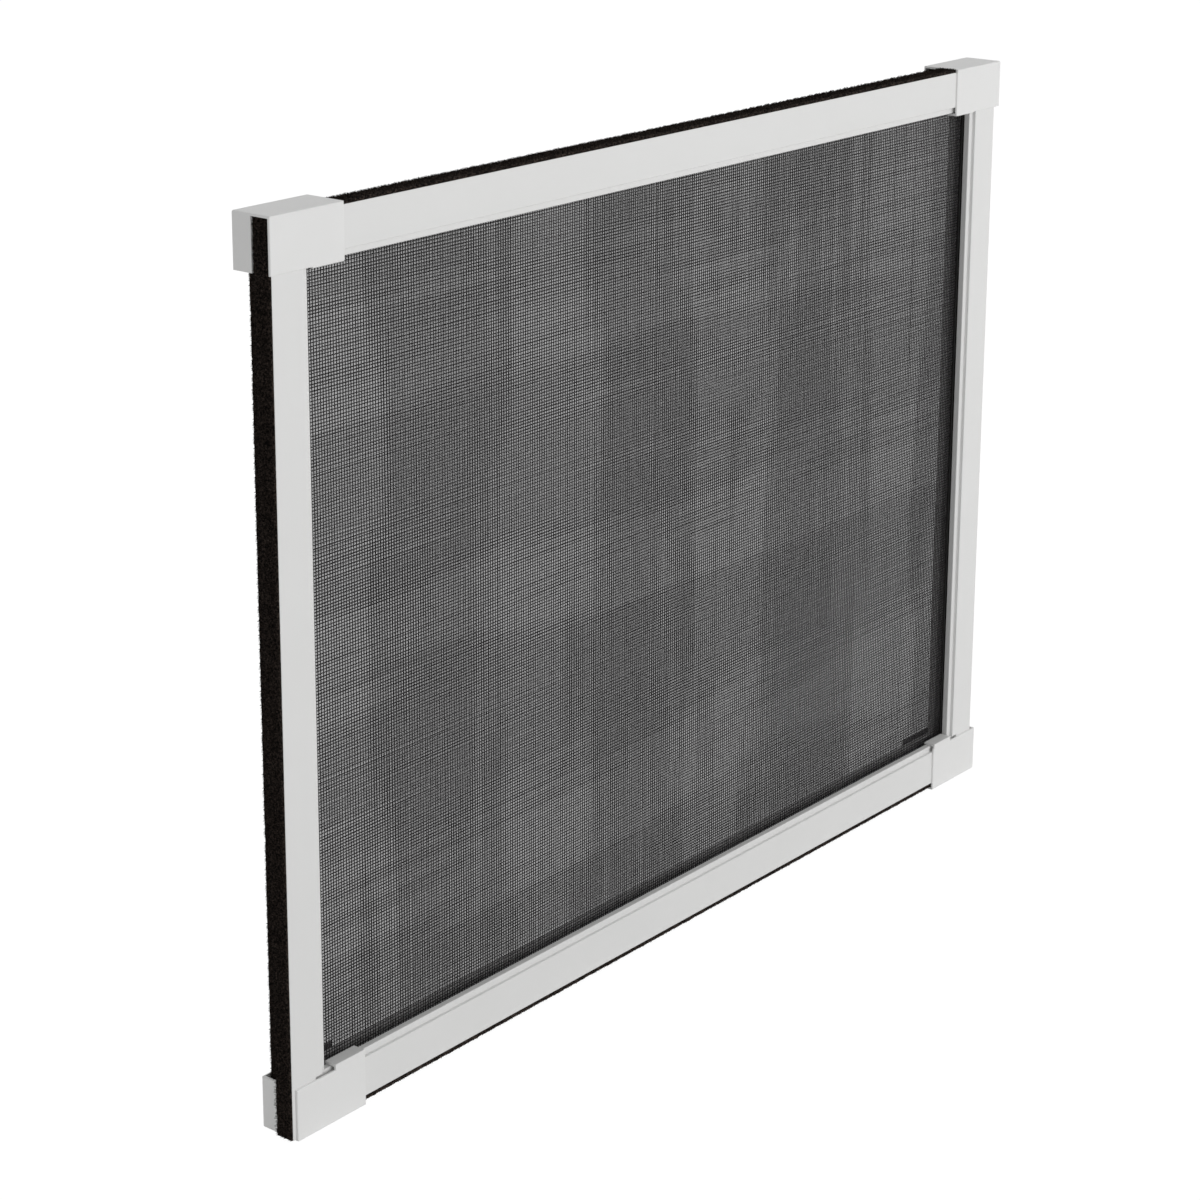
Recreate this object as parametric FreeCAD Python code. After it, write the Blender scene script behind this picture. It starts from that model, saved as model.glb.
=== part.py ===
import FreeCAD, Part
import math
import os

# Extending window screen in its closed state: a front panel with four corner blocks, and a
# rear panel that slides out sideways through the open backs of the right hand blocks.
# Millimetres. X runs along the rails to the right, Y goes backwards, Z is up.
# The origin is the middle of the closed screen's underside.

V = FreeCAD.Vector

# Front panel, measured over the bars
panel_w = 525.0
panel_h = 385.0

# Bar section, u from the outer edge towards the mesh and v from the front face backwards
face_w = 18.0
ledge_w = 3.0
step_d = 1.7
lip_t = 3.3
undercut_d = 1.75
profile_d = 8.9
wall = 1.1
lip_over = 1.7
seat_w = 1.2
groove_w = 3.2
groove_d = 3.1
groove_rib = 0.9
edge_r = 0.5

# Channel for the pile in the outer edge of each bar
chan_d = 1.2
chan_lip = 0.5
chan_edge = 0.9
chan_mouth_edge = 1.5

# Pile strip
pile_h = 1.2
pile_clear = 0.1
pile_side = 0.35
pile_r = 0.4

# Mesh and spline
mesh_t = 0.4
mesh_margin = 0.15
spline_clear = 0.12
mesh_cols = 12
mesh_rows = 10
mesh_bar = 9.0

# Rear panel
panel_gap = 0.4
rear_setback = 8.0
rear_low_top = 2.1
rear_below = 0.6

# Corner blocks
block_len = 41.0
block_h = 23.4
plate_t = 1.0
cap_t = 1.0
side_t = 1.2
back_t = 0.9
back_clear = 0.35
block_r = 0.8
plate_r = 0.5
over_left = 1.4
over_right = 3.0
over_top_left = 1.6
over_top_right = 1.4
over_bottom = 3.4
wrap_clear = 0.2
wrap_t = 1.2
wrap_back = 5.5
wrap_in = 0.6
wrap_root = 1.5
rear_over = 1.4

# Keys that plug into the bars
key_clear = 0.2
key_len = 24.0
key_play = 3.3
low_left_slip = 3.3

# Places that follow from the sizes above
inner_u = face_w + ledge_w
seat_end_u = inner_u - lip_over
groove_end_u = seat_end_u - seat_w
groove_u = groove_end_u - groove_w
tube_w = groove_u - groove_rib
lip_v = step_d + lip_t
seat_v = lip_v + undercut_d
chamber_u0 = chan_d + wall
chamber_u1 = tube_w - wall
chamber_v0 = wall
chamber_v1 = profile_d - wall
rear_y = profile_d + panel_gap
block_back = rear_y + profile_d + back_clear + back_t
rear_right_x = panel_w + over_right - rear_over
rear_w = rear_right_x - rear_setback
rear_h = panel_h - rear_low_top + rear_below

left_x = -over_left
right_x = panel_w + over_right
origin = V((left_x + right_x) / 2.0, (block_back - plate_t) / 2.0, -over_bottom)


def block(x0, x1, y0, y1, z0, z1):
    """A box between two corners."""
    return Part.makeBox(x1 - x0, y1 - y0, z1 - z0, V(x0, y0, z0))


def rounded_face(corners, place):
    """A face from corners (a, b, radius); place turns (a, b) into a point in space."""
    starts = []
    ends = []
    mids = []
    count = len(corners)
    for i in range(count):
        a, b, r = corners[i]
        here = V(a, b, 0)
        before = V(corners[i - 1][0], corners[i - 1][1], 0) - here
        after = V(corners[(i + 1) % count][0], corners[(i + 1) % count][1], 0) - here
        before.normalize()
        after.normalize()
        half = before.getAngle(after) / 2.0
        reach = r / math.tan(half)
        middle = before + after
        middle.normalize()
        starts.append(here + before * reach)
        ends.append(here + after * reach)
        mids.append(here + middle * (r / math.sin(half) - r))
    edges = []
    for i in range(count):
        j = (i + 1) % count
        if corners[i][2] > 0:
            arc = Part.Arc(place(starts[i]), place(mids[i]), place(ends[i]))
            edges.append(arc.toShape())
        if ends[i].distanceToPoint(starts[j]) > 1e-6:
            edges.append(Part.LineSegment(place(ends[i]), place(starts[j])).toShape())
    return Part.Face(Part.Wire(edges))


def bar_corners():
    """Outline of the bar's section."""
    return [
        (0, 0, edge_r),
        (face_w, 0, edge_r),
        (face_w, step_d, 0),
        (inner_u, step_d, edge_r),
        (inner_u, lip_v, edge_r),
        (seat_end_u, lip_v, 0),
        (seat_end_u, seat_v, 0),
        (groove_end_u, seat_v, 0),
        (groove_end_u, seat_v - groove_d, 0),
        (groove_u, seat_v - groove_d, 0),
        (groove_u, seat_v, 0),
        (tube_w, seat_v, 0),
        (tube_w, profile_d, edge_r),
        (0, profile_d, edge_r),
        (0, profile_d - chan_mouth_edge, 0),
        (chan_lip, profile_d - chan_mouth_edge, 0),
        (chan_lip, profile_d - chan_edge, 0),
        (chan_d, profile_d - chan_edge, 0),
        (chan_d, chan_edge, 0),
        (chan_lip, chan_edge, 0),
        (chan_lip, chan_mouth_edge, 0),
        (0, chan_mouth_edge, 0),
    ]


def chamber_corners():
    """Outline of the hollow in the bar."""
    return [
        (chamber_u0, chamber_v0, 0),
        (chamber_u1, chamber_v0, 0),
        (chamber_u1, chamber_v1, 0),
        (chamber_u0, chamber_v1, 0),
    ]


def pile_corners():
    """Outline of the pile strip: a flat backing in the channel and the brush that fans out above."""
    base = chan_d
    shoulder = chan_lip + pile_clear
    low = chan_edge + pile_clear
    mouth = chan_mouth_edge + pile_clear
    return [
        (base, low, 0),
        (base, profile_d - low, 0),
        (shoulder, profile_d - low, 0),
        (shoulder, profile_d - mouth, 0),
        (-pile_clear, profile_d - mouth, 0),
        (-pile_clear, profile_d - pile_side, 0),
        (-pile_h, profile_d - pile_side, pile_r),
        (-pile_h, pile_side, pile_r),
        (-pile_clear, pile_side, 0),
        (-pile_clear, mouth, 0),
        (shoulder, mouth, 0),
        (shoulder, low, 0),
    ]


def along_rail(corners, x0, x1, edge_z, inward):
    """Sweeps a section along X; u goes from edge_z in the direction inward."""
    face = rounded_face(corners, lambda p: V(x0, p.y, edge_z + inward * p.x))
    return face.extrude(V(x1 - x0, 0, 0))


def along_stile(corners, z0, z1, edge_x, inward):
    """Sweeps a section along Z; u goes from edge_x in the direction inward."""
    face = rounded_face(corners, lambda p: V(edge_x + inward * p.x, p.y, z0))
    return face.extrude(V(0, 0, z1 - z0))


def rail_bar(x0, x1, edge_z, inward):
    return along_rail(bar_corners(), x0, x1, edge_z, inward).cut(
        along_rail(chamber_corners(), x0, x1, edge_z, inward))


def stile_bar(z0, z1, edge_x, inward):
    return along_stile(bar_corners(), z0, z1, edge_x, inward).cut(
        along_stile(chamber_corners(), z0, z1, edge_x, inward))


def notched_stile(z0, z1, edge_x, inward):
    """A stile whose inner flange stops at the rails, with an open slot at each end for the key."""
    bar = stile_bar(z0, z1, edge_x, inward)
    far = edge_x + inward * (inner_u + 1.0)
    tube_side = edge_x + inward * tube_w
    slot_side = edge_x + inward * (chamber_u1 - wall)
    for low, high, slot_low, slot_high in (
            (z0 - 1.0, inner_u, z0 - 1.0, chamber_u1),
            (panel_h - inner_u, z1 + 1.0, panel_h - chamber_u1, z1 + 1.0)):
        bar = bar.cut(block(min(far, tube_side), max(far, tube_side), -1.0, profile_d + 1.0, low, high))
        bar = bar.cut(block(min(far, slot_side), max(far, slot_side),
                            chamber_v0, chamber_v1, slot_low, slot_high))
    return bar


def spline_round(start, direction, length):
    radius = (groove_w - 2.0 * spline_clear) / 2.0
    return Part.makeCylinder(radius, length, start, direction)


def mesh_sheet(width, height):
    """The stretched mesh: a thin wall on the seat of the four bars, opened by rows of gaps."""
    edge = groove_end_u + mesh_margin
    x0 = edge
    x1 = width - edge
    z0 = edge
    z1 = height - edge
    sheet = block(x0, x1, seat_v, seat_v + mesh_t, z0, z1)
    rim = inner_u - edge + mesh_bar / 2.0
    step_x = (x1 - x0 - 2.0 * rim + mesh_bar) / mesh_cols
    step_z = (z1 - z0 - 2.0 * rim + mesh_bar) / mesh_rows
    gaps = []
    for i in range(mesh_cols):
        for j in range(mesh_rows):
            gx = x0 + rim + i * step_x
            gz = z0 + rim + j * step_z
            gaps.append(block(gx, gx + step_x - mesh_bar, seat_v - 1.0, seat_v + mesh_t + 1.0,
                              gz, gz + step_z - mesh_bar))
    return sheet.cut(Part.makeCompound(gaps))


def four_splines(width, height, stile_end):
    """Round splines in the grooves of the four bars: left, right, top, bottom."""
    u = groove_u + groove_w / 2.0
    v = seat_v - groove_w / 2.0
    rail_end = groove_end_u + mesh_margin
    length_z = height - 2.0 * stile_end
    length_x = width - 2.0 * rail_end
    return [
        spline_round(V(u, v, stile_end), V(0, 0, 1), length_z),
        spline_round(V(width - u, v, stile_end), V(0, 0, 1), length_z),
        spline_round(V(rail_end, v, height - u), V(1, 0, 0), length_x),
        spline_round(V(rail_end, v, u), V(1, 0, 0), length_x),
    ]


def key_legs(low_s, high_s, low_t, high_t, base_t, reach_s, reach_t):
    """An angled key: one leg up a stile from base_t, one leg along a rail."""
    y0 = chamber_v0 + key_clear
    y1 = chamber_v1 - key_clear
    upright = block(low_s, high_s, y0, y1, base_t, reach_t)
    level = block(low_s, reach_s, y0, y1, low_t, high_t)
    return upright.fuse(level).removeSplitter()


def corner_block(over_side, over_cap, pocket_at_back, slip):
    """A corner block at the lower left: s from the bars' side edge, t from the rail's edge.

    pocket_at_back closes the back half's outer side and leaves the front half open for the
    stile and its pile; otherwise the front half is closed and the back half is open.
    """
    s0 = -over_side
    s1 = s0 + block_len
    t0 = -over_cap
    t1 = t0 + block_h
    shell = block(s0, s1, -plate_t, block_back, t0, t1)
    round_edges = []
    for edge in shell.Edges:
        middle = edge.CenterOfMass
        if abs(middle.x - s0) < 1e-6 and abs(middle.z - t0) < 1e-6:
            round_edges.append(edge)
    shell = shell.makeFillet(block_r, round_edges)
    front_edges = []
    for edge in shell.Edges:
        box = edge.BoundBox
        if abs(box.YMin - box.YMax) < 1e-6:
            front_edges.append(edge)
    shell = shell.makeFillet(plate_r, front_edges)
    # The hollow takes the corner of both panels and is open towards the bars.
    hollow = block(s0 + side_t, s1 + 1.0, 0.0, block_back - back_t, t0 + cap_t, t1 + 1.0)
    shell = shell.cut(hollow)
    # The outer side is open beside one panel.
    if pocket_at_back:
        side_gap = block(s0 - 1.0, s0 + side_t, 0.0, profile_d + panel_gap / 2.0,
                         t0 + cap_t, t1 + 1.0)
    else:
        side_gap = block(s0 - 1.0, s0 + side_t, profile_d, block_back - back_t,
                         t0 + cap_t, t1 + 1.0)
    shell = shell.cut(side_gap)
    # Beside the stile the plate reaches further in and wraps back over the rail's inner edge.
    wrap_end = inner_u + wrap_clear + wrap_t
    wrap = along_rail([
        (t1 - wrap_root, -plate_t, 0),
        (wrap_end, -plate_t, plate_r),
        (wrap_end, wrap_back, plate_r),
        (wrap_end - wrap_t, wrap_back, 0),
        (wrap_end - wrap_t, 0.0, 0),
        (t1 - wrap_root, 0.0, 0),
    ], inner_u + wrap_in, s1 - plate_r, 0.0, 1.0)
    shell = shell.fuse(wrap)
    # The key runs up the stile from the cap and along the rail.
    low = chamber_u0 + key_clear
    high = chamber_u1 - key_clear
    key = key_legs(low, high - key_play, low, high, t0 + cap_t / 2.0,
                   tube_w + key_len, high + key_len)
    shell = shell.fuse(key).removeSplitter()
    shell.translate(V(slip, 0, 0))
    return shell


def flip_up(shape):
    """Turns a lower corner into an upper one."""
    return shape.mirror(V(0, 0, panel_h / 2.0), V(0, 0, 1))


def flip_right(shape):
    """Turns a left corner into a right one."""
    return shape.mirror(V(panel_w / 2.0, 0, 0), V(1, 0, 0))


nodes = {}

# Front panel bars: the stiles run past the rails into the blocks' caps
stile_foot = -(over_bottom - cap_t)
stile_head_left = panel_h + over_top_left - cap_t
stile_head_right = panel_h + over_top_right - cap_t
nodes["left_stile"] = notched_stile(stile_foot, stile_head_left, 0.0, 1.0)
nodes["right_stile"] = notched_stile(stile_foot, stile_head_right, panel_w, -1.0)
nodes["bottom_rail"] = rail_bar(tube_w, panel_w - tube_w, 0.0, 1.0)
nodes["top_rail"] = rail_bar(tube_w, panel_w - tube_w, panel_h, -1.0)

# Corner blocks; the lower left one has slipped along its rail by the play of its key
nodes["corner_bottom_left"] = corner_block(over_left, over_bottom, True, low_left_slip)
nodes["corner_top_left"] = flip_up(corner_block(over_left, over_top_left, True, 0.0))
nodes["corner_bottom_right"] = flip_right(corner_block(over_right, over_bottom, False, 0.0))
nodes["corner_top_right"] = flip_right(flip_up(corner_block(over_right, over_top_right, False, 0.0)))

# Pile on the front panel: the whole left stile, the bottom rail, and the top rail between
# the two upper blocks, which have no room for it
pile_x0 = block_len - over_left + pile_clear
pile_x1 = panel_w + over_right - block_len - pile_clear
pile_x2 = panel_w - tube_w
nodes["left_pile"] = along_stile(pile_corners(), stile_foot, stile_head_left, 0.0, 1.0)
nodes["top_pile"] = along_rail(pile_corners(), pile_x0, pile_x1, panel_h, -1.0)
nodes["bottom_pile"] = along_rail(pile_corners(), tube_w, pile_x2, 0.0, 1.0)

# Mesh and splines of the front panel
nodes["insect_mesh"] = mesh_sheet(panel_w, panel_h)
splines = four_splines(panel_w, panel_h, inner_u + mesh_margin)
for name, shape in zip(("left", "right", "top", "bottom"), splines):
    nodes[name + "_spline"] = shape

# Rear panel, built like the front one from its own corner and then set behind it
rear = {}


def mitre(shape, x, z, sx, sz):
    """Cuts the end of a bar at 45 degrees; keeps the side of the bar named by sx and sz."""
    far = rear_h
    points = [V(x - sx, -profile_d, z - sz),
              V(x + sx * far, -profile_d, z + sz * far),
              V(x - sx, -profile_d, z + sz * far),
              V(x - sx, -profile_d, z - sz)]
    wedge = Part.Face(Part.makePolygon(points)).extrude(V(0, 3.0 * profile_d, 0))
    return shape.cut(wedge)


def mitre_stile(shape, x, z, sx, sz):
    far = rear_h
    points = [V(x - sx, -profile_d, z - sz),
              V(x + sx * far, -profile_d, z + sz * far),
              V(x + sx * far, -profile_d, z - sz),
              V(x - sx, -profile_d, z - sz)]
    wedge = Part.Face(Part.makePolygon(points)).extrude(V(0, 3.0 * profile_d, 0))
    return shape.cut(wedge)


bar = rail_bar(0.0, rear_w, 0.0, 1.0)
rear["rear_bottom_rail"] = mitre(mitre(bar, 0.0, 0.0, 1.0, 1.0), rear_w, 0.0, -1.0, 1.0)
bar = rail_bar(0.0, rear_w, rear_h, -1.0)
rear["rear_top_rail"] = mitre(mitre(bar, 0.0, rear_h, 1.0, -1.0), rear_w, rear_h, -1.0, -1.0)
bar = stile_bar(0.0, rear_h, 0.0, 1.0)
rear["rear_left_stile"] = mitre_stile(mitre_stile(bar, 0.0, 0.0, 1.0, 1.0), 0.0, rear_h, 1.0, -1.0)
bar = stile_bar(0.0, rear_h, rear_w, -1.0)
rear["rear_right_stile"] = mitre_stile(mitre_stile(bar, rear_w, 0.0, -1.0, 1.0),
                                       rear_w, rear_h, -1.0, -1.0)

low = chamber_u0 + key_clear
high = chamber_u1 - key_clear
keys = []
for flip_x in (False, True):
    for flip_z in (False, True):
        key = key_legs(low, high, low, high, low, high + key_len, high + key_len)
        if flip_x:
            key = key.mirror(V(rear_w / 2.0, 0, 0), V(1, 0, 0))
        if flip_z:
            key = key.mirror(V(0, 0, rear_h / 2.0), V(0, 0, 1))
        keys.append(key)
rear["rear_corner_keys"] = Part.makeCompound(keys)

rear["rear_left_pile"] = along_stile(pile_corners(), pile_h, rear_h - pile_h, 0.0, 1.0)
rear["rear_right_pile"] = along_stile(pile_corners(), pile_h, rear_h - pile_h, rear_w, -1.0)
rear["rear_top_pile"] = along_rail(pile_corners(), pile_h, rear_w - pile_h, rear_h, -1.0)
rear["rear_bottom_pile"] = along_rail(pile_corners(), pile_h, rear_w - pile_h, 0.0, 1.0)

rear["rear_mesh"] = mesh_sheet(rear_w, rear_h)
splines = four_splines(rear_w, rear_h, inner_u + mesh_margin)
for name, shape in zip(("left", "right", "top", "bottom"), splines):
    rear["rear_" + name + "_spline"] = shape

for name, shape in rear.items():
    shape.translate(V(rear_setback, rear_y, -rear_below))
    nodes[name] = shape

os.makedirs("parts", exist_ok=True)
for name, shape in nodes.items():
    shape.translate(origin * -1.0)
    shape.exportStep("parts/" + name + ".step")
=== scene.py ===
import math
import random

import bpy
from mathutils import Matrix, Vector


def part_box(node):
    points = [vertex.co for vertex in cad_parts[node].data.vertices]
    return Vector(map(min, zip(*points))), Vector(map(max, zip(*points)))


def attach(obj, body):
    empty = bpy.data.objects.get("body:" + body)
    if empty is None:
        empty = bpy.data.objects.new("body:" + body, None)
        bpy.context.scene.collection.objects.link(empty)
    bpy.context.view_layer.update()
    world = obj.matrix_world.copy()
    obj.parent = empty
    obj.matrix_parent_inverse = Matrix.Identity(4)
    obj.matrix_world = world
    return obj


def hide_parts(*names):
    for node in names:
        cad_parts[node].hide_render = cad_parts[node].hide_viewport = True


# Extending window screen: white bars and corner blocks, black brush pile, two layers of mesh.
# X runs along the rails to the right, Y to the back and Z up.

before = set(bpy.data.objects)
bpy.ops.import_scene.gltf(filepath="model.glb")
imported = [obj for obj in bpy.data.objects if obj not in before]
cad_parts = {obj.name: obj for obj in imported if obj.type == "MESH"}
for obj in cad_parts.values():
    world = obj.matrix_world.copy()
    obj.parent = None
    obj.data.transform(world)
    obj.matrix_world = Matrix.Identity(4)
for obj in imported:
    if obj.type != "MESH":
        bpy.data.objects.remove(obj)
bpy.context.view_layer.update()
scene = bpy.context.scene
scene.view_settings.view_transform = "Standard"
MM = 0.001
AXIS_X = 0
AXIS_Z = 2
SOFT_EDGE = 0.3 * MM
SOFT_STEPS = 2


# Small modelling steps


def deselect():
    bpy.ops.object.select_all(action="DESELECT")


def make_active(piece):
    deselect()
    piece.select_set(True)
    bpy.context.view_layer.objects.active = piece


def settle():
    """Puts the place, turn and size of the selected piece into its mesh."""
    bpy.ops.object.transform_apply(location=True, rotation=True, scale=True)


def apply_all(piece):
    make_active(piece)
    for modifier in list(piece.modifiers):
        bpy.ops.object.modifier_apply(modifier=modifier.name)


def clone(piece):
    copy = piece.copy()
    copy.data = piece.data.copy()
    scene.collection.objects.link(copy)
    return copy


def join(pieces):
    """Joins pieces in the frame of the first one."""
    deselect()
    for piece in pieces:
        piece.select_set(True)
    bpy.context.view_layer.objects.active = pieces[0]
    bpy.ops.object.join()
    return bpy.context.object


def remove(pieces):
    for piece in pieces:
        bpy.data.objects.remove(piece)


def paint(piece, material):
    piece.data.materials.clear()
    piece.data.materials.append(material)


def plain_box(centre, size):
    deselect()
    bpy.ops.mesh.primitive_cube_add(size=1.0, location=centre)
    piece = bpy.context.object
    piece.scale = size
    settle()
    return piece


def soften(piece):
    """Rounds the sharp edges of a piece."""
    soft = piece.modifiers.new("soft_edges", "BEVEL")
    soft.width = SOFT_EDGE
    soft.segments = SOFT_STEPS
    soft.limit_method = "ANGLE"
    apply_all(piece)


def cut_along(piece, axis, least, rounds):
    """Divides the edges that run along an axis, once for each number in rounds."""
    scene.tool_settings.mesh_select_mode = (False, True, False)
    for cuts in rounds:
        for face in piece.data.polygons:
            face.select = False
        for vertex in piece.data.vertices:
            vertex.select = False
        for edge in piece.data.edges:
            ends = [piece.data.vertices[i].co for i in edge.vertices]
            edge.select = abs(ends[0][axis] - ends[1][axis]) > least
        least = least / (cuts + 1)
        make_active(piece)
        bpy.ops.object.mode_set(mode="EDIT")
        bpy.ops.mesh.select_mode(type="EDGE")
        bpy.ops.mesh.subdivide(number_cuts=cuts)
        bpy.ops.object.mode_set(mode="OBJECT")


def repeat(piece, count, step):
    modifier = piece.modifiers.new("repeat", "ARRAY")
    modifier.count = count
    modifier.use_relative_offset = False
    modifier.use_constant_offset = True
    modifier.constant_offset_displace = step


def stray(piece, name, direction, cell, rng, strength):
    """Moves a piece's points one way by a soft noise with cells of a given size.

    Returns the ruler that carries the noise, which goes once the move is applied."""
    deselect()
    bpy.ops.object.empty_add(location=[rng.uniform(-1.0, 1.0) for i in range(3)])
    ruler = bpy.context.object
    ruler.scale = cell
    texture = bpy.data.textures.new(name, "CLOUDS")
    texture.noise_scale = 1.0
    texture.noise_depth = 0
    modifier = piece.modifiers.new(name, "DISPLACE")
    modifier.texture = texture
    modifier.texture_coords = "OBJECT"
    modifier.texture_coords_object = ruler
    modifier.direction = direction
    modifier.mid_level = 0.5
    modifier.strength = strength
    return ruler


# Shader nodes and the two groups that the white finishes share

WHOLE = (0.0, 1.0)
MIX_FACTOR = 0
MIX_FIRST = 6
MIX_SECOND = 7
MIX_COLOUR = 2
STREAK_SHARE = 0.55
SKIN_SHARE = 0.45
GRAIN_SHARE = 0.35


def feed(tree, socket, value):
    """Sets a socket to a number, or links another node to it."""
    if isinstance(value, (int, float)):
        socket.default_value = value
    else:
        tree.links.new(value, socket)


def math_node(tree, operation, *values):
    node = tree.nodes.new("ShaderNodeMath")
    node.operation = operation
    for socket, value in zip(node.inputs, values):
        feed(tree, socket, value)
    return node.outputs[0]


def noise_node(tree, vector, scale, detail, rough=0.55):
    node = tree.nodes.new("ShaderNodeTexNoise")
    node.inputs["Detail"].default_value = detail
    node.inputs["Roughness"].default_value = rough
    feed(tree, node.inputs["Scale"], scale)
    tree.links.new(vector, node.inputs["Vector"])
    return node.outputs["Fac"]


def remap(tree, value, old, new=WHOLE):
    node = tree.nodes.new("ShaderNodeMapRange")
    for label, number in zip(("From Min", "From Max", "To Min", "To Max"), (*old, *new)):
        node.inputs[label].default_value = number
    tree.links.new(value, node.inputs["Value"])
    return node.outputs["Result"]


def blend_colour(tree, factor, first, second):
    node = tree.nodes.new("ShaderNodeMix")
    node.data_type = "RGBA"
    for index, value in ((MIX_FIRST, first), (MIX_SECOND, second)):
        if isinstance(value, tuple):
            node.inputs[index].default_value = (*value, 1.0)
        else:
            tree.links.new(value, node.inputs[index])
    tree.links.new(factor, node.inputs[MIX_FACTOR])
    return node.outputs[MIX_COLOUR]


def bump(tree, shader, height, distance, strength):
    node = tree.nodes.new("ShaderNodeBump")
    node.inputs["Distance"].default_value = distance
    node.inputs["Strength"].default_value = strength
    tree.links.new(height, node.inputs["Height"])
    tree.links.new(node.outputs["Normal"], shader.inputs["Normal"])


def new_group(name, inputs, outputs):
    group = bpy.data.node_groups.new(name, "ShaderNodeTree")
    for label, kind, value in inputs:
        socket = group.interface.new_socket(label, in_out="INPUT", socket_type=kind)
        socket.default_value = value
    for label in outputs:
        group.interface.new_socket(label, in_out="OUTPUT", socket_type="NodeSocketFloat")
    start = group.nodes.new("NodeGroupInput")
    end = group.nodes.new("NodeGroupOutput")
    return group, start, end


def build_handling_marks():
    """Soft uneven soiling and small rubs: two masks from nought to one."""
    group, start, end = new_group(
        "handling_marks",
        [("Place", "NodeSocketVector", (0, 0, 0)), ("Patch Scale", "NodeSocketFloat", 18.0),
         ("Speck Scale", "NodeSocketFloat", 420.0)],
        ["Mask", "Specks"])
    place = start.outputs["Place"]
    patch = noise_node(group, place, start.outputs["Patch Scale"], detail=5.0, rough=0.6)
    speck = noise_node(group, place, start.outputs["Speck Scale"], detail=2.0, rough=0.5)
    soft = remap(group, patch, (0.42, 0.78))
    dots = remap(group, speck, (0.68, 0.78))
    dots = math_node(group, "MULTIPLY", dots, soft)
    group.links.new(soft, end.inputs["Mask"])
    group.links.new(dots, end.inputs["Specks"])
    return group


def build_drawn_lines():
    """Faint lines along a drawn or extruded length, with a fine skin texture across it."""
    group, start, end = new_group(
        "drawn_lines",
        [("Place", "NodeSocketVector", (0, 0, 0)), ("Lines", "NodeSocketVector", (1, 1, 1)),
         ("Skin Scale", "NodeSocketFloat", 900.0)],
        ["Height", "Streak"])
    place = start.outputs["Place"]
    stretch = group.nodes.new("ShaderNodeVectorMath")
    stretch.operation = "MULTIPLY"
    group.links.new(place, stretch.inputs[0])
    group.links.new(start.outputs["Lines"], stretch.inputs[1])
    streak = noise_node(group, stretch.outputs[0], 1.0, detail=3.0, rough=0.6)
    skin = noise_node(group, place, start.outputs["Skin Scale"], detail=2.0, rough=0.5)
    height = math_node(group, "ADD", math_node(group, "MULTIPLY", streak, STREAK_SHARE),
                       math_node(group, "MULTIPLY", skin, SKIN_SHARE))
    group.links.new(height, end.inputs["Height"])
    group.links.new(streak, end.inputs["Streak"])
    return group


HANDLING = build_handling_marks()
DRAWN = build_drawn_lines()


# Finishes

PAINT_CLEAN = (0.80, 0.80, 0.792)
PAINT_SOILED = (0.765, 0.763, 0.75)
PAINT_SPECK = (0.55, 0.54, 0.51)
PLASTIC_CLEAN = (0.835, 0.835, 0.828)
PLASTIC_SOILED = (0.80, 0.795, 0.78)
# Painted light and shade of the brush: a near-black and a brown that random patches mix, standing
# in for light caught among the black fibres.
PILE_PAINTED_SHADE = (0.002, 0.0016, 0.0014)
PILE_PAINTED_LIGHT = (0.062, 0.047, 0.039)
CORD_BLACK = (0.018, 0.018, 0.018)
CORD_WORN = (0.045, 0.044, 0.042)
YARN_DARK = (0.010, 0.009, 0.0095)
YARN_PALE = (0.028, 0.026, 0.027)
VEIL_DARK = (0.022, 0.019, 0.021)
VEIL_PALE = (0.034, 0.030, 0.033)
# Colours of the black ring that paints the shade in the deep gap behind the bars' lips.
SHADE_RING_DARK = (0.006, 0.006, 0.006)
SHADE_RING_PALE = (0.018, 0.017, 0.017)
LINES_ALONG = 6.0
LINES_ACROSS = 2400.0
# Share of the light that one face of the film holds back, and how much it varies
FRONT_COVER = 0.12
REAR_COVER = 0.32
COVER_VARIES = 0.03


def start_material(name, roughness, specular):
    material = bpy.data.materials.new(name)
    material.use_nodes = True
    tree = material.node_tree
    shader = tree.nodes["Principled BSDF"]
    shader.inputs["Roughness"].default_value = roughness
    shader.inputs["Specular IOR Level"].default_value = specular
    place = tree.nodes.new("ShaderNodeTexCoord").outputs["Object"]
    return material, tree, shader, place


def place_group(tree, group, place):
    node = tree.nodes.new("ShaderNodeGroup")
    node.node_tree = group
    tree.links.new(place, node.inputs["Place"])
    return node


def white_coating(name, lines):
    """Satin white paint on a drawn bar."""
    material, tree, shader, place = start_material(name, roughness=0.4, specular=0.45)
    marks = place_group(tree, HANDLING, place)
    drawn = place_group(tree, DRAWN, place)
    drawn.inputs["Lines"].default_value = lines
    soiled = remap(tree, marks.outputs["Mask"], WHOLE, (0.0, 0.35))
    colour = blend_colour(tree, soiled, PAINT_CLEAN, PAINT_SOILED)
    specks = remap(tree, marks.outputs["Specks"], WHOLE, (0.0, 0.18))
    colour = blend_colour(tree, specks, colour, PAINT_SPECK)
    tree.links.new(colour, shader.inputs["Base Color"])
    rough = remap(tree, drawn.outputs["Streak"], (0.3, 0.7), (0.34, 0.47))
    tree.links.new(rough, shader.inputs["Roughness"])
    bump(tree, shader, drawn.outputs["Height"], distance=0.06 * MM, strength=0.35)
    return material


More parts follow.
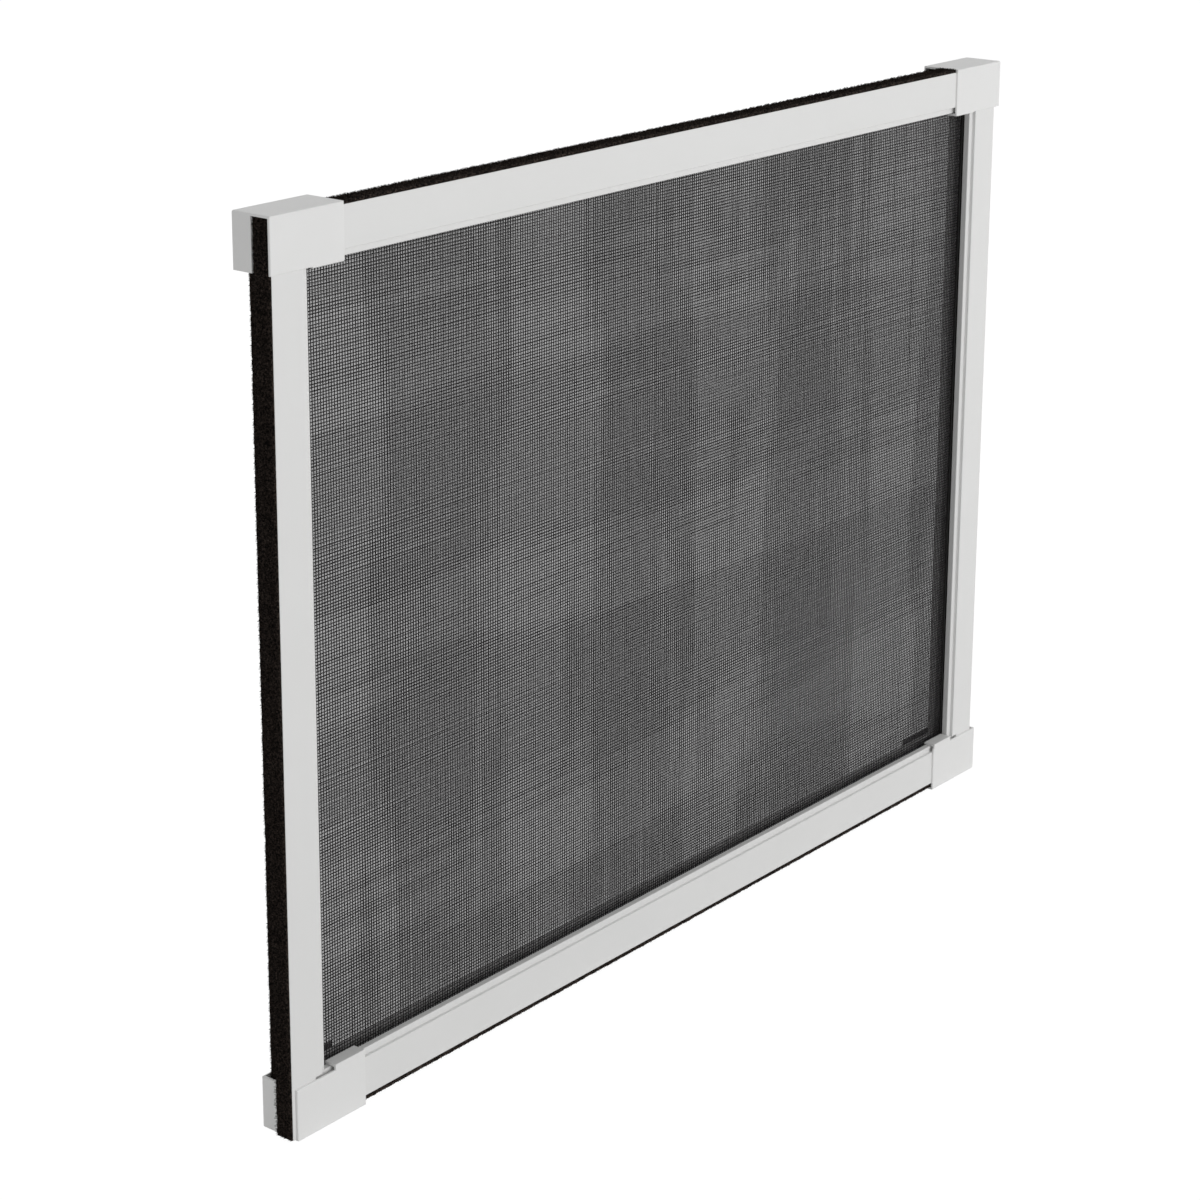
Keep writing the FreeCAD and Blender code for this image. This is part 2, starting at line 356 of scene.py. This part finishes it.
def white_moulding():
    """Moulded white plastic with a fine eroded texture and slight sink."""
    material, tree, shader, place = start_material("white_moulding", roughness=0.5, specular=0.4)
    marks = place_group(tree, HANDLING, place)
    marks.inputs["Patch Scale"].default_value = 34.0
    marks.inputs["Speck Scale"].default_value = 620.0
    soiled = remap(tree, marks.outputs["Mask"], WHOLE, (0.0, 0.3))
    colour = blend_colour(tree, soiled, PLASTIC_CLEAN, PLASTIC_SOILED)
    tree.links.new(colour, shader.inputs["Base Color"])
    grain = noise_node(tree, place, scale=2600.0, detail=2.0)
    sink = noise_node(tree, place, scale=90.0, detail=2.0)
    height = math_node(tree, "ADD", math_node(tree, "MULTIPLY", grain, GRAIN_SHARE), sink)
    bump(tree, shader, height, distance=0.09 * MM, strength=0.4)
    rough = remap(tree, grain, (0.3, 0.7), (0.44, 0.58))
    tree.links.new(rough, shader.inputs["Roughness"])
    return material


def pile_fibre():
    """Black brush fibre with painted light: browner in random patches, which stand in for light
    getting in among the fibres.
    """
    material, tree, shader, place = start_material("pile_fibre", roughness=0.9, specular=0.05)
    tuft = noise_node(tree, place, scale=950.0, detail=2.0, rough=0.6)
    strand = noise_node(tree, place, scale=2300.0, detail=2.0, rough=0.6)
    # Painted light: the mask of the brown patches is random noise, not where the lamps reach.
    light = remap(tree, math_node(tree, "MULTIPLY", tuft, strand), (0.2, 0.38))
    colour = blend_colour(tree, light, PILE_PAINTED_SHADE, PILE_PAINTED_LIGHT)
    tree.links.new(colour, shader.inputs["Base Color"])
    bump(tree, shader, strand, distance=0.3 * MM, strength=0.8)
    return material


def spline_cord():
    """Black soft cord with a fine uneven skin."""
    material, tree, shader, place = start_material("spline_cord", roughness=0.6, specular=0.35)
    wear = noise_node(tree, place, scale=260.0, detail=3.0)
    colour = blend_colour(tree, wear, CORD_BLACK, CORD_WORN)
    tree.links.new(colour, shader.inputs["Base Color"])
    skin = noise_node(tree, place, scale=1500.0, detail=1.0)
    bump(tree, shader, skin, distance=0.1 * MM, strength=0.5)
    return material


def mesh_yarn():
    """Charcoal coated glass yarn."""
    material, tree, shader, place = start_material("mesh_yarn", roughness=0.55, specular=0.2)
    along = noise_node(tree, place, scale=650.0, detail=2.0)
    broad = noise_node(tree, place, scale=30.0, detail=3.0)
    tone = remap(tree, math_node(tree, "MULTIPLY", along, broad), (0.12, 0.4))
    colour = blend_colour(tree, tone, YARN_DARK, YARN_PALE)
    tree.links.new(colour, shader.inputs["Base Color"])
    twist = noise_node(tree, place, scale=2200.0, detail=2.0)
    bump(tree, shader, twist, distance=0.08 * MM, strength=0.6)
    return material


def mesh_veil(name, cover):
    """Dim film in the holes of the mesh, which lets only a share of the light through."""
    material, tree, shader, place = start_material(name, roughness=0.85, specular=0.1)
    cloud = noise_node(tree, place, scale=420.0, detail=3.0)
    colour = blend_colour(tree, cloud, VEIL_DARK, VEIL_PALE)
    tree.links.new(colour, shader.inputs["Base Color"])
    alpha = remap(tree, cloud, (0.3, 0.7), (cover - COVER_VARIES, cover + COVER_VARIES))
    tree.links.new(alpha, shader.inputs["Alpha"])
    return material


def mesh_edging_tape():
    """Black ring finish with a fine woven skin; the ring is painted shade for the deep gap behind
    the bars' lips.
    """
    material, tree, shader, place = start_material("mesh_edging_tape", roughness=0.7, specular=0.2)
    weave = noise_node(tree, place, scale=1400.0, detail=2.0)
    colour = blend_colour(tree, weave, SHADE_RING_DARK, SHADE_RING_PALE)
    tree.links.new(colour, shader.inputs["Base Color"])
    bump(tree, shader, weave, distance=0.1 * MM, strength=0.5)
    return material


COATING_RAIL = white_coating("white_coating_rail", (LINES_ALONG, LINES_ACROSS, LINES_ACROSS))
COATING_STILE = white_coating("white_coating_stile", (LINES_ACROSS, LINES_ACROSS, LINES_ALONG))
MOULDING = white_moulding()
PILE = pile_fibre()
SPLINE = spline_cord()
YARN = mesh_yarn()
FRONT_VEIL = mesh_veil("front_mesh_veil", FRONT_COVER)
REAR_VEIL = mesh_veil("rear_mesh_veil", REAR_COVER)
SHADE_RING_PAINT = mesh_edging_tape()

for name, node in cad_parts.items():
    if name.endswith("_rail"):
        paint(node, COATING_RAIL)
    elif name.endswith("_stile"):
        paint(node, COATING_STILE)
    elif name.startswith("corner_") or name == "rear_corner_keys":
        paint(node, MOULDING)
    elif name.endswith("_spline"):
        paint(node, SPLINE)


# Insect mesh: one yarn each way is modelled, and its copies lie a little uneven across the panel

YARN_ACROSS = 1.5875 * MM
YARN_UP = 1.4111 * MM
YARN_SIDES = 6
FRONT_YARN = 0.45 * MM
REAR_YARN = 0.15 * MM
# How far the copies lie off their places, and off straight
FRONT_UNEVEN = 0.04 * MM
REAR_UNEVEN = 0.06 * MM
YARN_SKEW = 0.0003
# Upright yarns lie in front of the middle of the cloth by this much, level ones behind it
YARN_LIFT = 0.06 * MM
UPRIGHT_CUTS = 23
LEVEL_CUTS = 31
# Neighbouring yarns sway together by up to half of this, in long and narrow patches
SWAY = 0.5 * MM
SWAY_WIDE = 14.0 * MM
SWAY_LONG = 90.0 * MM
SWAY_DEEP = 1000.0 * MM
FILM_THICK = 0.02 * MM
# The cloth reaches this far into the spline grooves
TUCK = 3.0 * MM
# A black ring behind the bars' lips is painted shade for the deep gap there: how far it reaches in
# from the edge, and where it sits against the cloth.
SHADE_RING_REACH = 1.9 * MM
SHADE_RING_FROM_LOW = Vector((1.4, -1.25, -0.5)) * MM
SHADE_RING_FROM_HIGH = Vector((1.4, 0.7, 1.4)) * MM


def yarn(length, axis, centre, thick, cuts):
    """One yarn as a slim rod with cross cuts, so that it can bend along its length."""
    deselect()
    turn = (0, 0, 0) if axis == AXIS_Z else (0, math.radians(90), 0)
    bpy.ops.mesh.primitive_cylinder_add(vertices=YARN_SIDES, radius=thick / 2, depth=length,
                                        location=centre, rotation=turn)
    rod = bpy.context.object
    settle()
    cut_along(rod, axis, length / 2, (cuts,))
    return rod


def lay_side_by_side(rod, count, step, uneven, rng):
    """Copies a yarn across the panel, each copy off its place and off straight by a little."""
    across = step.normalized()
    corners = [Vector(corner) for corner in rod.bound_box]
    centre = sum(corners, Vector()) / len(corners)
    copies = []
    for i in range(count):
        copy = clone(rod)
        turn = Matrix.Rotation(rng.gauss(0.0, YARN_SKEW), 4, (0, 1, 0))
        place = Matrix.Translation(centre + step * i + across * rng.gauss(0.0, uneven))
        copy.matrix_world = place @ turn @ Matrix.Translation(-centre)
        copies.append(copy)
    remove([rod])
    laid = join(copies)
    settle()
    return laid


def insect_mesh(name, node, body, thick, veil, uneven, seed):
    """Yarns each way and the film between them; returns both and the cloth's flat size."""
    rng = random.Random(seed)
    low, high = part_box(node)
    low = low - Vector((TUCK, 0, TUCK))
    high = high + Vector((TUCK, 0, TUCK))
    middle = (low + high) / 2
    width = high.x - low.x
    height = high.z - low.z
    across = int(width / YARN_ACROSS)
    up = int(height / YARN_UP)
    start_x = low.x + (width - (across - 1) * YARN_ACROSS) / 2
    start_z = low.z + (height - (up - 1) * YARN_UP) / 2
    leftmost = (start_x, middle.y - YARN_LIFT, middle.z)
    warp = yarn(height, AXIS_Z, leftmost, thick, UPRIGHT_CUTS)
    warp = lay_side_by_side(warp, across, Vector((YARN_ACROSS, 0, 0)), uneven, rng)
    lowest = (middle.x, middle.y + YARN_LIFT, start_z)
    weft = yarn(width, AXIS_X, lowest, thick, LEVEL_CUTS)
    weft = lay_side_by_side(weft, up, Vector((0, 0, YARN_UP)), uneven, rng)
    for piece, label, direction, cell in (
            (warp, "_sway", "X", (SWAY_WIDE, SWAY_DEEP, SWAY_LONG)),
            (weft, "_rise", "Z", (SWAY_LONG, SWAY_DEEP, SWAY_WIDE))):
        ruler = stray(piece, name + label, direction, cell, rng, SWAY)
        apply_all(piece)
        remove([ruler])
    film = plain_box(middle, (width, FILM_THICK, height))
    for piece, material in ((warp, YARN), (weft, YARN), (film, veil)):
        paint(piece, material)
    cloth = join([warp, weft])
    cloth.name = name
    bpy.ops.object.shade_smooth()
    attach(cloth, body)
    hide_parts(node)
    return cloth, film, (width, height)


def painted_shade_ring(name, low, high, body):
    """Painted shade: a black flat ring behind the bars' lips, drawn out in depth, that stands in
    for the shadow in the deep gap between the lips and the mesh.
    """
    middle = (low + high) / 2
    deselect()
    bpy.ops.mesh.primitive_plane_add(size=1.0, location=(middle.x, low.y, middle.z),
                                     rotation=(math.radians(90), 0, 0))
    ring = bpy.context.object
    ring.scale = (high.x - low.x, high.z - low.z, 1.0)
    settle()
    bpy.ops.object.mode_set(mode="EDIT")
    bpy.ops.mesh.select_all(action="SELECT")
    bpy.ops.mesh.inset(thickness=SHADE_RING_REACH, depth=0.0)
    bpy.ops.mesh.delete(type="FACE")
    bpy.ops.mesh.select_all(action="SELECT")
    bpy.ops.mesh.extrude_region_move(TRANSFORM_OT_translate={"value": (0, high.y - low.y, 0)})
    bpy.ops.mesh.select_all(action="SELECT")
    bpy.ops.mesh.normals_make_consistent(inside=False)
    bpy.ops.object.mode_set(mode="OBJECT")
    ring.name = name
    soften(ring)
    paint(ring, SHADE_RING_PAINT)
    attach(ring, body)
    return ring


bars = ["left_stile", "right_stile", "top_rail", "bottom_rail"]
cloth, film, size = insect_mesh("front_insect_mesh", "insect_mesh", "main_frame", FRONT_YARN,
                                FRONT_VEIL, FRONT_UNEVEN, seed=3)
film.name = "front_mesh_film"
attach(film, "main_frame")
low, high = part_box("insect_mesh")
# Painted shade: a black ring behind the front bars' lips.
shade_ring = painted_shade_ring("front_mesh_edging", low + SHADE_RING_FROM_LOW, high - SHADE_RING_FROM_HIGH,
                     "main_frame")
bars = ["rear_" + bar for bar in bars]
cloth, film, size = insect_mesh("rear_insect_mesh", "rear_mesh", "slide_panel", REAR_YARN,
                                REAR_VEIL, REAR_UNEVEN, seed=4)
cloth = join([cloth, film])


# Brush pile: a short stretch of fibres is modelled once, and copies of it line every strip

FIBRE_THICK = 0.15 * MM
FIBRE_LONG = 1.0 * MM
FIBRE_SIDES = 3
FIRST_TIP = 0.5
FIBRE_TIP = 0.4
# Shares of a fibre's length: how far it leans along the strip and to the back, its shortest and
# longest form, and what it gains where it fans out
LEAN_ALONG = 0.4
LEAN_BACK = 0.2
SHORTEST = 0.75
LONGEST = 1.2
FAN_GAIN = 0.3
FIBRE_SEED = 7
STRETCH = 6.0 * MM
STRETCH_COLUMNS = 18
STRETCH_LINES = 11
BRUSH_WIDE = 8.5 * MM
BRUSH_MARGIN = 0.2 * MM
# Rounds of cuts that divide the felt along a strip
FELT_CUTS = (18, 18)
FELT_LOW = 0.05 * MM
# The felt ends this far below the reach of the tips, and the fibres start within it
FELT_SHORT = 0.55
FIBRE_SUNK = 0.4 * MM
NECK_WIDE = 5.5 * MM
NECK_LOW = -1.0 * MM
NECK_HIGH = 0.1 * MM
# The strip in the CAD stands this far out of the bar's edge
STRIP_PROUD = 1.2 * MM
BACK_FROM = 1.5 * MM
# Cell and strength of the noises that disturb the brush, in millimetres
RUFFLE = (1.4, 0.45)
TOUSLE = (5.0, 0.3)
PART_CELL = 1.3
EVEN = 0.2
RAGGED = 1.0


def fibre(length, tip, centre, turn):
    bpy.ops.mesh.primitive_cone_add(vertices=FIBRE_SIDES, radius1=FIBRE_THICK,
                                    radius2=FIBRE_THICK * tip, depth=length, location=centre,
                                    rotation=turn, end_fill_type="NOTHING")


def fibre_stretch(spread):
    """Fibres over one short stretch: X runs along the strip, Y to the back, Z out of the bar.

    spread is how far the rearmost fibres lean back."""
    rng = random.Random(FIBRE_SEED)
    deselect()
    fibre(FIBRE_LONG, FIRST_TIP, (0, 0, FIBRE_LONG / 2), (0, 0, 0))
    patch = bpy.context.object
    bpy.ops.object.mode_set(mode="EDIT")
    for i in range(STRETCH_COLUMNS):
        for j in range(STRETCH_LINES):
            share = (j + rng.uniform(0.1, 0.9)) / STRETCH_LINES * 2 - 1
            foot = Vector(((i + rng.uniform(0.0, 1.0)) / STRETCH_COLUMNS * STRETCH,
                           share * (BRUSH_WIDE / 2 - BRUSH_MARGIN), 0.0))
            fan = max(share, 0.0) ** 2 * spread
            lean = Vector((rng.uniform(-LEAN_ALONG, LEAN_ALONG),
                           fan + rng.uniform(0.0, LEAN_BACK), 1.0))
            length = rng.uniform(SHORTEST, LONGEST) * (1.0 + FAN_GAIN * fan) * FIBRE_LONG
            rise = lean.normalized()
            fibre(length, FIBRE_TIP, foot + rise * length / 2,
                  rise.to_track_quat("Z", "Y").to_euler())
    bpy.ops.object.mode_set(mode="OBJECT")
    return patch


def brush_block(length, wide, low, high):
    """A felted block along X between two heights, divided along its length so that it can vary."""
    felt = plain_box((length / 2, 0, (low + high) / 2), (length, wide, high - low))
    soften(felt)
    cut_along(felt, AXIS_X, length / 2, FELT_CUTS)
    return felt


def pile_strip(name, node, body, out, along, reach, ragged, seed, patch):
    """Brush on one bar: a neck in the channel, felt above it and fibres that end the felt.

    out points away from the bar. along runs with it, so that out cross along points to the back.
    reach sets in millimetres how far the tips stand out, and ragged how uneven the back is."""
    low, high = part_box(node)
    out = Vector(out)
    along = Vector(along)
    middle = (low + high) / 2
    length = abs((high - low).dot(along))
    edge = max(low.dot(out), high.dot(out)) - STRIP_PROUD
    head = (reach - FELT_SHORT) * MM
    neck = brush_block(length, NECK_WIDE, NECK_LOW, NECK_HIGH)
    felt = brush_block(length, BRUSH_WIDE, FELT_LOW, head)
    count = round(length / STRETCH)
    fibres = clone(patch)
    fibres.scale = (length / (count * STRETCH), 1.0, 1.0)
    make_active(fibres)
    bpy.ops.object.transform_apply(location=False, rotation=False, scale=True)
    for vertex in fibres.data.vertices:
        vertex.co.z += head - FIBRE_SUNK
    repeat(fibres, count, (length / count, 0, 0))
    apply_all(fibres)
    # The patch's own frame starts half a fibre up, so the joined brush sits that much deeper
    brush = join([fibres, neck, felt])
    brush.name = name
    # The front of the brush keeps a straight edge beside the bar's face, the back may be ragged
    back = brush.vertex_groups.new(name="back")
    back.add([v.index for v in brush.data.vertices if v.co.y > BACK_FROM], 1.0, "REPLACE")
    rulers = []
    rng = random.Random(seed)
    for label, direction, (cell, strength) in (("_ruffle", "Z", RUFFLE),
                                               ("_part", "Y", (PART_CELL, ragged)),
                                               ("_tousle", "Z", TOUSLE)):
        size = Vector((cell, cell, cell)) * MM
        rulers.append(stray(brush, name + label, direction, size, rng, strength * MM))
    brush.modifiers[name + "_part"].vertex_group = "back"
    apply_all(brush)
    brush.vertex_groups.clear()
    remove(rulers)
    side = out.cross(along)
    start = middle - along * (length / 2)
    start += out * (edge - start.dot(out))
    brush.matrix_world = Matrix((
        (along.x, side.x, out.x, start.x),
        (along.y, side.y, out.y, start.y),
        (along.z, side.z, out.z, start.z),
        (0, 0, 0, 1)))
    make_active(brush)
    settle()
    paint(brush, PILE)
    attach(brush, body)
    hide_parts(node)


UPRIGHT_PATCH = fibre_stretch(spread=0.2)
FANNED_PATCH = fibre_stretch(spread=1.6)
for name, body, out, along, reach, ragged, seed, patch in (
        ("left", "main_frame", (-1, 0, 0), (0, 0, 1), 1.7, RAGGED, 11, FANNED_PATCH),
        ("top", "main_frame", (0, 0, 1), (1, 0, 0), 2.3, EVEN, 12, UPRIGHT_PATCH),
        ("bottom", "main_frame", (0, 0, -1), (-1, 0, 0), 3.0, EVEN, 13, UPRIGHT_PATCH),
        ("rear_left", "slide_panel", (-1, 0, 0), (0, 0, 1), 3.2, EVEN, 17, UPRIGHT_PATCH),
        ("rear_right", "slide_panel", (1, 0, 0), (0, 0, -1), 1.8, EVEN, 14, UPRIGHT_PATCH),
        ("rear_top", "slide_panel", (0, 0, 1), (1, 0, 0), 1.9, EVEN, 15, UPRIGHT_PATCH),
        ("rear_bottom", "slide_panel", (0, 0, -1), (-1, 0, 0), 1.4, EVEN, 16, UPRIGHT_PATCH)):
    pile_strip(name + "_brush", name + "_pile", body, out, along, reach, ragged, seed, patch)
remove([UPRIGHT_PATCH, FANNED_PATCH])


# Floor, light and camera

FLOOR_SIZE = 40.0
FLOOR_DROP = 0.2 * MM
FLOOR_COLOUR = (0.92, 0.92, 0.92, 1.0)
FLOOR_GLOW = 1.08
FLOOR_GLOW_SHARE = 0.9
WORLD_COLOUR = (1.0, 1.0, 1.0, 1.0)
WORLD_LIGHT = 0.5
WORLD_SEEN = 0.5
LIGHT_AIM = (0.0, 0.0, 0.2)
LIGHT_SIZE = 1.4
# The view is measured from the lower left front corner, in heights over the rails
SCREEN_HIGH = 0.385
VIEW_CORNER = Vector((-0.2633, -0.009225, 0.0034))
VIEW_EYE = Vector((-1.991, -2.012, 1.572))
VIEW_PAN = -51.30
VIEW_DOWN = 14.93
VIEW_ROLL = 0.25
PICTURE_PX = 1200.0
FOCAL_PX = 2913.0
AXIS_PX = 396.0
SENSOR_WIDE = 36.0


def seen_directly(tree):
    """One for what the camera sees straight, through the mesh or in a gloss, else nought."""
    ray = tree.nodes.new("ShaderNodeLightPath")
    seen = math_node(tree, "MAXIMUM", ray.outputs["Is Camera Ray"],
                     ray.outputs["Is Transmission Ray"])
    return math_node(tree, "MAXIMUM", seen, ray.outputs["Is Glossy Ray"])


def pale_floor():
    deselect()
    bpy.ops.mesh.primitive_plane_add(size=FLOOR_SIZE, location=(0, 0, -FLOOR_DROP))
    floor = bpy.context.object
    floor.name = "pale_floor"
    material = bpy.data.materials.new("pale_floor")
    material.use_nodes = True
    tree = material.node_tree
    tree.nodes.clear()
    end = tree.nodes.new("ShaderNodeOutputMaterial")
    mix = tree.nodes.new("ShaderNodeMixShader")
    plain = tree.nodes.new("ShaderNodeBsdfDiffuse")
    plain.inputs["Color"].default_value = FLOOR_COLOUR
    white = tree.nodes.new("ShaderNodeEmission")
    white.inputs["Strength"].default_value = FLOOR_GLOW
    seen = math_node(tree, "MULTIPLY", seen_directly(tree), FLOOR_GLOW_SHARE)
    for socket, value in zip(mix.inputs, (seen, plain.outputs[0], white.outputs[0])):
        tree.links.new(value, socket)
    tree.links.new(mix.outputs[0], end.inputs["Surface"])
    floor.data.materials.append(material)


def studio_world():
    world = bpy.data.worlds.new("studio")
    scene.world = world
    world.use_nodes = True
    tree = world.node_tree
    back = tree.nodes["Background"]
    back.inputs["Color"].default_value = WORLD_COLOUR
    strength = math_node(tree, "MULTIPLY_ADD", seen_directly(tree), WORLD_SEEN, WORLD_LIGHT)
    tree.links.new(strength, back.inputs["Strength"])


def area_light(name, place, power):
    data = bpy.data.lights.new(name, "AREA")
    data.size = LIGHT_SIZE
    data.energy = power
    lamp = bpy.data.objects.new(name, data)
    scene.collection.objects.link(lamp)
    lamp.location = place
    aim = Vector(LIGHT_AIM) - Vector(place)
    lamp.rotation_euler = aim.to_track_quat("-Z", "Y").to_euler()


def photo_camera():
    data = bpy.data.cameras.new("photo_camera")
    camera = bpy.data.objects.new("photo_camera", data)
    scene.collection.objects.link(camera)
    turn = Matrix.Rotation(math.radians(VIEW_PAN), 4, "Z")
    tilt = Matrix.Rotation(math.radians(90 - VIEW_DOWN), 4, "X")
    roll = Matrix.Rotation(math.radians(VIEW_ROLL), 4, "Z")
    eye = Matrix.Translation(VIEW_CORNER + VIEW_EYE * SCREEN_HIGH)
    camera.matrix_world = eye @ turn @ tilt @ roll
    data.sensor_width = SENSOR_WIDE
    data.lens = FOCAL_PX / PICTURE_PX * SENSOR_WIDE
    data.shift_y = -(PICTURE_PX / 2 - AXIS_PX) / PICTURE_PX
    data.clip_start = 0.01
    data.clip_end = 100.0
    scene.camera = camera


pale_floor()
studio_world()
area_light("front_softbox", (0.4, -2.0, 0.35), power=20.0)
area_light("back_softbox", (0.5, 2.2, 0.45), power=9.0)
photo_camera()
